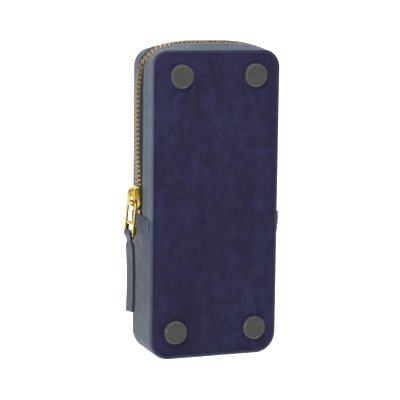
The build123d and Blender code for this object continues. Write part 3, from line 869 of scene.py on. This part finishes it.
def teeth(name, sgn, offs, count):
    V0, F0 = tooth_mesh(sgn)
    parts = []
    for i in range(count):
        c, t = on_chain(S_L + offs + i * PITCH)
        nrm = np.array([-t[1], t[0]])                   # outwards
        ja = rng.uniform(-0.035, 0.035)
        jb = rng.uniform(-0.03, 0.03)
        A = np.array([0, 1, 0]) + ja * np.array([t[0], 0, t[1]])
        B = np.array([nrm[0], 0, nrm[1]]) + jb * np.array([t[0], 0, t[1]])
        C = np.array([t[0], 0, t[1]])
        P = np.array([c[0], 0, c[1]]) + V0[:, :1] * A + V0[:, 1:2] * B + V0[:, 2:3] * C
        parts.append((P, F0))
    V, F = join(parts)
    return make(name, V, F, TEETH)


ob = teeth("teeth_base", 1, 0.0, N_T + 1)
ground(ob, "base", ["zip_teeth_base"])
ob = teeth("teeth_lid", -1, PITCH / 2, N_T)
ground(ob, "lid", ["zip_teeth_lid"])


# ------------------------------------------------------------------ lower gusset
FLARE_D = [0, 5.0, 9.5, 18, 30]


def drop(y, s):
    """How far the top edge falls towards the front corner, on the left side."""
    return pchip(-y, [3.0, 4.5, 8.5, 13.2], [0, 0.08, 0.65, 2.0]) if s < 0 else 0.0


def low_h(z, y, s):
    d = Z_SEAM - z
    h1 = pchip(d, FLARE_D, [1.5, 1.48, 0.95, 0.2, 0.0])
    h2 = pchip(d, FLARE_D, [2.75, 2.65, 1.8, 0.45, 0.0])
    k = smooth01((Y_RIM - abs(y)) / (Y_RIM - Y_EDGE + 1.5)) * 1.0
    return h1 + (h2 - h1) * k - 0.10 * (1 - smooth01((Y_RIM - abs(y)) / 0.8))


YS = [13.05, 12.7, 12.2, 11.5, 10.5, 9.3, 8.0, 6.6, 5.2, 3.6, 1.8, 0]
YS = [-y for y in YS] + YS[-2::-1]
STITCH_Z = Z_SEAM - 1.7
ST_Y = [-11.1 + i * 3.7 for i in range(7)]


def low_section(x, z, nx, nz, hf, thick=T_GUS, i=0, fall=0.0):
    s = -1 if nx < 0 else 1
    o, u = [], []
    for y in YS:
        zz = z - fall * drop(y, s)
        h = hf(y, zz) + 0.05 * wob(i * 0.13, y * 0.5)
        o.append((x + nx * h, y, zz + nz * h))
    for y in reversed(YS):
        zz = z - fall * drop(y, s)
        h = hf(y, zz) - thick
        u.append((x + nx * h, y, zz + nz * h))
    return o + u


def low_gusset():
    S = []
    i = 0
    zs = [Z_SEAM, Z_SEAM - 0.12, Z_SEAM - 0.35, Z_SEAM - 0.7, Z_SEAM - 1.1, Z_SEAM - 1.45, Z_SEAM - 1.7, Z_SEAM - 1.95, Z_SEAM - 2.3, Z_SEAM - 2.8, Z_SEAM - 3.6]
    z = Z_SEAM - 4.8
    while z > CZB + 1:
        zs.append(z)
        z -= 2.0
    zs.append(CZB)

    def sec(z, s, i):
        edge = Z_SEAM - z
        r = 0.34 * (1 - smooth01(edge / 0.35))           # rounded cut edge

        def hf(y, zz):
            h = low_h(zz, y, s) - r
            # the row of stitches pulls the leather in
            g = 0.22 * math.exp(-((z - STITCH_Z) / 0.42) ** 2)
            dy = min(abs(abs(y - c) - 1.25) for c in ST_Y)
            g += 0.12 * math.exp(-((z - STITCH_Z) / 0.5) ** 2) * math.exp(-(dy / 0.6) ** 2)
            return h - g + 0.14 * math.exp(-((edge - 0.55) / 0.4) ** 2)
        return low_section(s * HALF, z, s, 0, hf, T_GUS - 2 * r * 0.9, i, 1 - smooth01((edge - 3.0) / 30.0))
    for z in zs:
        S.append(sec(z, -1, i))
        i += 1
    n = 18
    for k in range(1, n):
        a = rad(90 * k / n)
        S.append(low_section(-(CXB + R_BOT * cos(a)), CZB - R_BOT * sin(a), -cos(a), -sin(a), lambda y, zz: -0.10 * (1 - smooth01((Y_RIM - abs(y)) / 0.8)), T_GUS, i))
        i += 1
    m = 22
    for k in range(m + 1):
        x = -CXB + 2 * CXB * k / m
        S.append(low_section(x, 0, 0, -1, lambda y, zz: -0.10 * (1 - smooth01((Y_RIM - abs(y)) / 0.8)) - 0.05, T_GUS, 0))
    for k in range(n - 1, 0, -1):
        a = rad(90 * k / n)
        S.append(low_section(CXB + R_BOT * cos(a), CZB - R_BOT * sin(a), cos(a), -sin(a), lambda y, zz: -0.10 * (1 - smooth01((Y_RIM - abs(y)) / 0.8)), T_GUS, i))
        i += 1
    for z in reversed(zs):
        S.append(sec(z, 1, i))
        i += 1
    return S


ob = sweep("gusset_lower", low_gusset(), LEA_LOW)
ground(ob, "base", ["lower_gusset"])


# ------------------------------------------------------------------ stitches
def capsules(name, items, mat, body, nodes=(), r=0.27, L=2.5, sink=0.2):
    """items: (centre, direction, normal). Each stitch arches out of the surface and dives in at both ends."""
    parts = []
    m, n = 8, 9
    for c, d, nr in items:
        c, d, nr = (np.asarray(q, float) for q in (c, d, nr))
        d = d / np.linalg.norm(d)
        nr = nr - d * (nr @ d)
        nr = nr / np.linalg.norm(nr)
        w = np.cross(d, nr)
        S = []
        for i in range(n):
            t = -1 + 2 * i / (n - 1)
            rr = r * (1 - 0.45 * abs(t) ** 3)
            base = c + d * (t * L / 2) + nr * (0.10 - (sink + 0.25) * abs(t) ** 2.6)
            S.append([base + (w * cos(2 * pi * k / m) * 1.1 + nr * sin(2 * pi * k / m)) * rr for k in range(m)])
        parts.append(grid(S))
    V, F = join(parts)
    o = make(name, V, F, mat)
    return ground(o, body, nodes)


for s, nm in ((-1, "seam_stitches_left"), (1, "seam_stitches_right")):
    items = []
    for y in ST_Y:
        z0, z1, zm = STITCH_Z - drop(y - 1.2, s), STITCH_Z - drop(y + 1.2, s), STITCH_Z - drop(y, s)
        h0, h1 = low_h(z0, y - 1.2, s), low_h(z1, y + 1.2, s)
        h = low_h(zm, y, s) - 0.15
        items.append(((s * (HALF + h), y, zm), (s * (h1 - h0), 2.4, z1 - z0), (s, 0, 0)))
    capsules("threads_" + nm, items, THREAD, "base", [nm])


def strip_stitches(name, sgn, body, stations, off):
    items = []
    P = np.array([s.at(0, 0) for s in stations])
    dd = np.concatenate([[0], np.cumsum(np.linalg.norm(np.diff(P, axis=0), axis=1))])
    q = 1.5 + off
    k = 0.47
    y = (Y_RIM + 0.05) - (Y_RIM + 0.05 - Y_EDGE) * k
    while q < dd[-1] - 1.5:
        i = int(np.searchsorted(dd, q))
        i = min(max(i, 1), len(stations) - 2)
        s = stations[i]
        a, b = stations[i - 1], stations[i + 1]
        pa, pb = np.array(a.at(sgn * y, strip_h(k, a.e))), np.array(b.at(sgn * y, strip_h(k, b.e)))
        c = np.array(s.at(sgn * y, strip_h(k, s.e)))
        f = (q - dd[i]) / max(dd[i + 1] - dd[i], 1e-6)
        c = c + (pb - pa) * f * 0.5
        items.append((c, pb - pa, (s.nx, 0, s.nz)))
        q += 3.1
    capsules(name, items, THREAD2, body, (), 0.17, 2.2, 0.12)


strip_stitches("threads_strip_base", -1, "base", upper(80.0, 80.0, 0.6, 3.0), 0.0)
strip_stitches("threads_strip_lid", 1, "lid", upper(80.0, 80.0, 0.6, 3.0), 0.9)


# ------------------------------------------------------------------ feet
FEET = {"foot_top_left": (-20.2, 155.7), "foot_top_right": (22.8, 156.0), "foot_bottom_left": (-22.7, 15.1), "foot_bottom_right": (23.9, 14.9)}


def foot(name, x, z, seed):
    prof = [(0.0, 2.16), (1.6, 2.165), (3.2, 2.17), (4.4, 2.185), (5.2, 2.20), (5.65, 2.19), (5.98, 2.10), (6.22, 1.93), (6.36, 1.68), (6.42, 1.3), (6.45, 0.8), (6.49, 0.35), (6.56, 0.05), (6.56, -0.1)]
    n = 72
    verts, faces = [(x, -D / 2 - prof[0][1], z)], []
    for r, h in prof[1:]:
        for k in range(n):
            a = 2 * pi * k / n
            rr = r * (1 + 0.004 * sin(3 * a + seed) + 0.003 * sin(5 * a + 2 * seed))
            verts.append((x + rr * cos(a), -D / 2 - h, z + rr * sin(a)))
    for k in range(n):
        faces.append((0, 1 + k, 1 + (k + 1) % n))
    for j in range(len(prof) - 2):
        for k in range(n):
            a, b = 1 + j * n + k, 1 + j * n + (k + 1) % n
            faces.append((a, a + n, b + n, b))
    last = 1 + (len(prof) - 2) * n
    faces.append(tuple(last + k for k in range(n)))
    o = make("rubber_" + name, verts, faces, RUBBER)
    return ground(o, "base", [name])


for i, (nm, (x, z)) in enumerate(FEET.items()):
    foot(nm, x, z, i * 1.7)

# ------------------------------------------------------------------ slider
S90 = side(90.0, -1)
XC = -HALF - (S90.b - TOOTH_H / 2 - 0.05)
X_TI, X_BI = XC - TOOTH_H / 2 - 0.12, XC + TOOTH_H / 2 + 0.12
X_TO, X_BO = X_TI - 0.8, X_BI + 0.8
SZ0, SZ1 = 83.0, 95.2


def slider_half(x_out, x_in, x_lip, n=26):
    """A plate with two flanges, lofted along z. x_out outer face, x_in inner face, x_lip the flanges' free edge."""
    sx = 1 if x_in > x_out else -1
    S = []
    for i in range(n + 1):
        t = i / n
        z = SZ0 + (SZ1 - SZ0) * t
        w = pchip(t, [0, 0.06, 0.16, 0.32, 0.6, 0.85, 0.96, 1.0], [3.4, 4.2, 4.85, 5.0, 4.75, 4.2, 3.9, 3.5])
        edge = min(t, 1 - t) * (SZ1 - SZ0)
        rr = 0.28 * (1 - smooth01(edge / 0.45))
        crown = 0.10 * sin(pi * t)
        o = x_out + sx * rr - sx * crown
        pts = []
        r = 0.5
        wi = 3.15
        # outer face with rounded shoulders
        pts += [(-wi * 0.6, o), (0, o - sx * 0.06), (wi * 0.6, o)]
        for a in (90, 68, 45, 22, 0):
            pts.append((w - rr - r + r * cos(rad(a)), o + sx * (r - r * sin(rad(a)))))
        pts += [(w - rr, x_lip - sx * 0.22), (w - rr - 0.12, x_lip), (min(wi + 0.1, w - rr - 0.2), x_lip), (min(wi, w - rr - 0.3), x_lip - sx * 0.15), (min(wi, w - rr - 0.3), x_in + sx * 0.2), (wi - 0.5, x_in)]
        left = [(-y, x) for y, x in reversed(pts[3:])]
        full = pts + left
        S.append([(x, y, z) for y, x in full])
    return grid(S)


def slider_mesh():
    a = slider_half(X_TO, X_TI, XC - 0.38)
    b = slider_half(X_BO, X_BI, XC + 1.35)
    # wedge between the plates
    poly = [(0.0, 87.2), (0.55, 86.6), (1.15, 85.4), (1.0, 84.2), (0.6, 83.2), (-0.6, 83.2), (-1.0, 84.2), (-1.15, 85.4), (-0.55, 86.6)]
    V, F = bevelled(poly, X_BI - X_TI + 0.5, 0.08, 1)
    V = np.stack([V[:, 2] + (X_BI + X_TI) / 2, V[:, 0], V[:, 1]], 1)
    return join([a, b, (V, F)])


V, F = slider_mesh()
ob = make("slider_plates", V, F, GOLD)
ground(ob, "slider", ["slider_body"])

XB = X_TO - 3.9
path = catmull([(X_TO + 0.08, 84.4), (X_TO - 0.7, 84.35), (X_TO - 2.2, 84.65), (XB + 0.55, 85.45), (XB + 0.38, 87.0), (XB + 0.36, 89.2), (XB + 0.42, 91.4),
                (XB + 0.95, 93.0), (X_TO - 1.6, 93.9), (X_TO - 0.5, 94.25), (X_TO + 0.08, 94.2)], 5)
S = []
for i, p in enumerate(path):
    a, b = path[max(i - 1, 0)], path[min(i + 1, len(path) - 1)]
    t = (b - a) / np.linalg.norm(b - a)
    nr = np.array([-t[1], t[0]])
    k = i / (len(path) - 1)
    wy = 1.80 + 0.25 * max(0, abs(2 * k - 1) - 0.55) / 0.45 + (0.25 if k > 0.8 else 0) * smooth01((k - 0.8) / 0.1)
    th = 0.66 + 0.0 * max(0, abs(2 * k - 1) - 0.6) / 0.4
    sec = []
    for j in range(20):
        a_ = 2 * pi * j / 20
        cy, cx = cos(a_), sin(a_)
        e = 0.45
        yy = wy * math.copysign(abs(cy) ** e, cy)
        hh = th * math.copysign(abs(cx) ** e, cx)
        sec.append((p[0] + nr[0] * hh, yy, p[1] + nr[1] * hh))
    S.append(sec)
ARCH = S

# ------------------------------------------------------------------ pull frame
TWIST, TILT, SHIFT = 15.0, 10.0, 1.0
PVT = np.array([XB + 0.8 + 0.6 + 0.35, 0, 87.1])
ct, st_, cf, sf = cos(rad(TWIST)), sin(rad(TWIST)), cos(rad(TILT)), sin(rad(TILT))
RZ = np.array([[ct, -st_, 0], [st_, ct, 0], [0, 0, 1]])
RX = np.array([[1, 0, 0], [0, cf, -sf], [0, sf, cf]])
RP = RZ @ RX
P_LEN, P_CROSS, P_W, BAR, P_T, P_T2, BAR_R = 18.6, 12.2, 9.0, 1.3, 1.2, 2.6, 0.9
w0, w1 = -P_W / 2 - SHIFT, P_W / 2 - SHIFT


def bar_box(x0, x1, y0, y1, z0, z1, off=0.16, seg=3):
    V, F = bevelled([(y0, z0), (y1, z0), (y1, z1), (y0, z1)], abs(x1 - x0), off, seg)
    return np.stack([V[:, 2] + (x0 + x1) / 2, V[:, 0], V[:, 1]], 1), F


def bar_round(x, y0, y1, z, r, n=28):
    S = []
    for y, k in ((y0, 0.80), (y0 + 0.1, 0.95), (y0 + 0.3, 1.0), (y1 - 0.3, 1.0), (y1 - 0.1, 0.95), (y1, 0.80)):
        S.append([(x + r * k * cos(2 * pi * j / n), y, z + r * k * sin(2 * pi * j / n)) for j in range(n)])
    return grid(S)


def remeshed(name, parts, mat, voxel, smooth_it=3):
    V, F = join(parts)
    o = make(name, V, F, mat)
    bpy.context.view_layer.objects.active = o
    o.select_set(True)
    rm = o.modifiers.new("r", "REMESH")
    rm.mode = "VOXEL"
    rm.voxel_size = voxel * MM
    rm.use_smooth_shade = True
    sm = o.modifiers.new("s", "SMOOTH")
    sm.factor = 0.5
    sm.iterations = smooth_it
    dg = bpy.context.evaluated_depsgraph_get()
    me = bpy.data.meshes.new_from_object(o.evaluated_get(dg))
    o.modifiers.clear()
    o.data = me
    me.polygons.foreach_set("use_smooth", [True] * len(me.polygons))
    if not me.materials:
        me.materials.append(mat)
    return o


ob = remeshed("slider_bridge_arch", [grid(ARCH), bar_box(X_TO - 1.2, X_TO + 0.08, -1.8, 1.8, 84.5, 93.6, 0.3),
                                     bar_box(XB + 0.5, X_TO - 0.4, -1.6, 1.6, 89.5, 93.1, 0.35)], GOLD, 0.13, 2)
ground(ob, "slider", ["slider_bridge"])

zc = -P_CROSS - BAR / 2
parts = [bar_box(-0.6, 0.6, w0, w0 + BAR, -P_LEN, 0.0), bar_box(-0.6, 0.6, w1 - BAR, w1, -P_LEN, 0.0),
         bar_box(-0.6, 0.6, w0 + 0.4, w1 - 0.4, zc, -P_CROSS + BAR / 2),
         bar_round(0, w0, w1, 0, 0.6), bar_round(0.4, w0, w1, -P_LEN, 0.9),
         bar_box(-0.6, P_T2 - 0.6, w0, w0 + BAR, -P_LEN, zc - 1.3), bar_box(-0.6, P_T2 - 0.6, w1 - BAR, w1, -P_LEN, zc - 1.3)]
parts = [((np.asarray(V) @ RP.T) + PVT, F) for V, F in parts]
ob = remeshed("pull_ring", parts, GOLD, 0.13)
ground(ob, "pull", ["pull_frame"])

# ------------------------------------------------------------------ leather strap
LB = PVT + RP @ np.array([0.4, -SHIFT, -P_LEN])
bar_dir = RP @ np.array([0, 1, 0])
sa = rad(20)
outv = np.array([-cos(sa), -sin(sa), 0])
widv = np.array([-sin(sa), cos(sa), 0])
# centre line of a single layer: (out, down, half width, twist towards the bar's own direction)
lay = 1.08
ctr = [(-0.30, 3.5), (-0.42, 5.4), (-0.55, 7.6), (-0.8, 11.0), (-1.05, 15.0), (-1.25, 22.0), (-1.25, 29.0), (-1.05, 37.0), (-0.75, 44.0)]


def width_at(b):
    return pchip(b, [-2.4, -1.2, 0.2, 1.6, 3.0, 4.1, 5.2, 7.0, 12, 20, 30, 38, 44.2], [2.15, 2.7, 3.15, 2.9, 2.25, 1.72, 2.35, 2.95, 3.0, 2.85, 2.9, 3.02, 2.95])


def layer_path():
    pts = []
    dn = catmull(ctr, 5)
    for a, b in dn[::-1]:                              # back layer, from the end up
        pts.append((a - lay * 0.52, b))
    r = 1.52
    for ang in np.linspace(-55, 235, 22):              # round the bar
        t = rad(ang)
        pts.append((-(r + 0.12) * cos(t), -(r + 0.06) * sin(t)))
    for a, b in dn:                                    # front layer, down to the end
        pts.append((a + lay * 0.52, b))
    return np.array(pts)


LP = layer_path()
# even out the join between the bar's turn and the two layers
for _ in range(2):
    q = LP.copy()
    i0, i1 = 38, len(LP) - 38
    q[i0:i1] = 0.25 * LP[i0 - 1:i1 - 1] + 0.5 * LP[i0:i1] + 0.25 * LP[i0 + 1:i1 + 1]
    LP = q
S = []
for i, (a, b) in enumerate(LP):
    p, n_ = LP[max(i - 1, 0)], LP[min(i + 1, len(LP) - 1)]
    t = (n_ - p) / max(np.linalg.norm(n_ - p), 1e-9)
    nr = np.array([t[1], -t[0]])                        # in (out, down)
    k = 1 - smooth01((b - 1.0) / 6.0)
    wdir = widv * (1 - k) + bar_dir * k
    wdir = wdir / np.linalg.norm(wdir)
    hw = width_at(b) * (1.0 + 0.015 * wob(i * 0.4))
    th = lay / 2 * (0.98 if b > 6 else 0.9)
    sec = []
    m = 22
    for j in range(m):
        ang = 2 * pi * j / m
        cy, cx = cos(ang), sin(ang)
        yy = hw * math.copysign(abs(cy) ** 0.28, cy)
        hh = th * math.copysign(abs(cx) ** 0.5, cx)
        base = LB + outv * a + np.array([0, 0, -b])
        d = outv * nr[0] + np.array([0, 0, -1]) * nr[1]
        sec.append(base + wdir * yy + d * hh)
    S.append(sec)
ob = sweep("strap_leather", S, LEA_STRAP)
ob.data.materials.append(EDGE)
for poly in ob.data.polygons:
    js = {v % 22 for v in poly.vertices}
    if len(poly.vertices) == 4 and (js <= {20, 21, 0} or js <= {0, 1, 2} or js <= {9, 10, 11} or js <= {11, 12, 13}) and S[min(poly.vertices) // 22][0] is not None:
        poly.material_index = 1
ground(ob, "strap", ["pull_strap"])

# ------------------------------------------------------------------ the nodes that stay
for n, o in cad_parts.items():
    mat = None
    if n.endswith("board") or "board" in n:
        mat = BOARD
    elif "lining" in n:
        mat = LINING
    elif "stop" in n:
        mat = TEETH
        bv = o.modifiers.new("bevel", "BEVEL")
        bv.width = 0.15 * MM
        bv.segments = 2
        bv.limit_method = "ANGLE"
    if mat is not None:
        o.data.materials.clear()
        o.data.materials.append(mat)
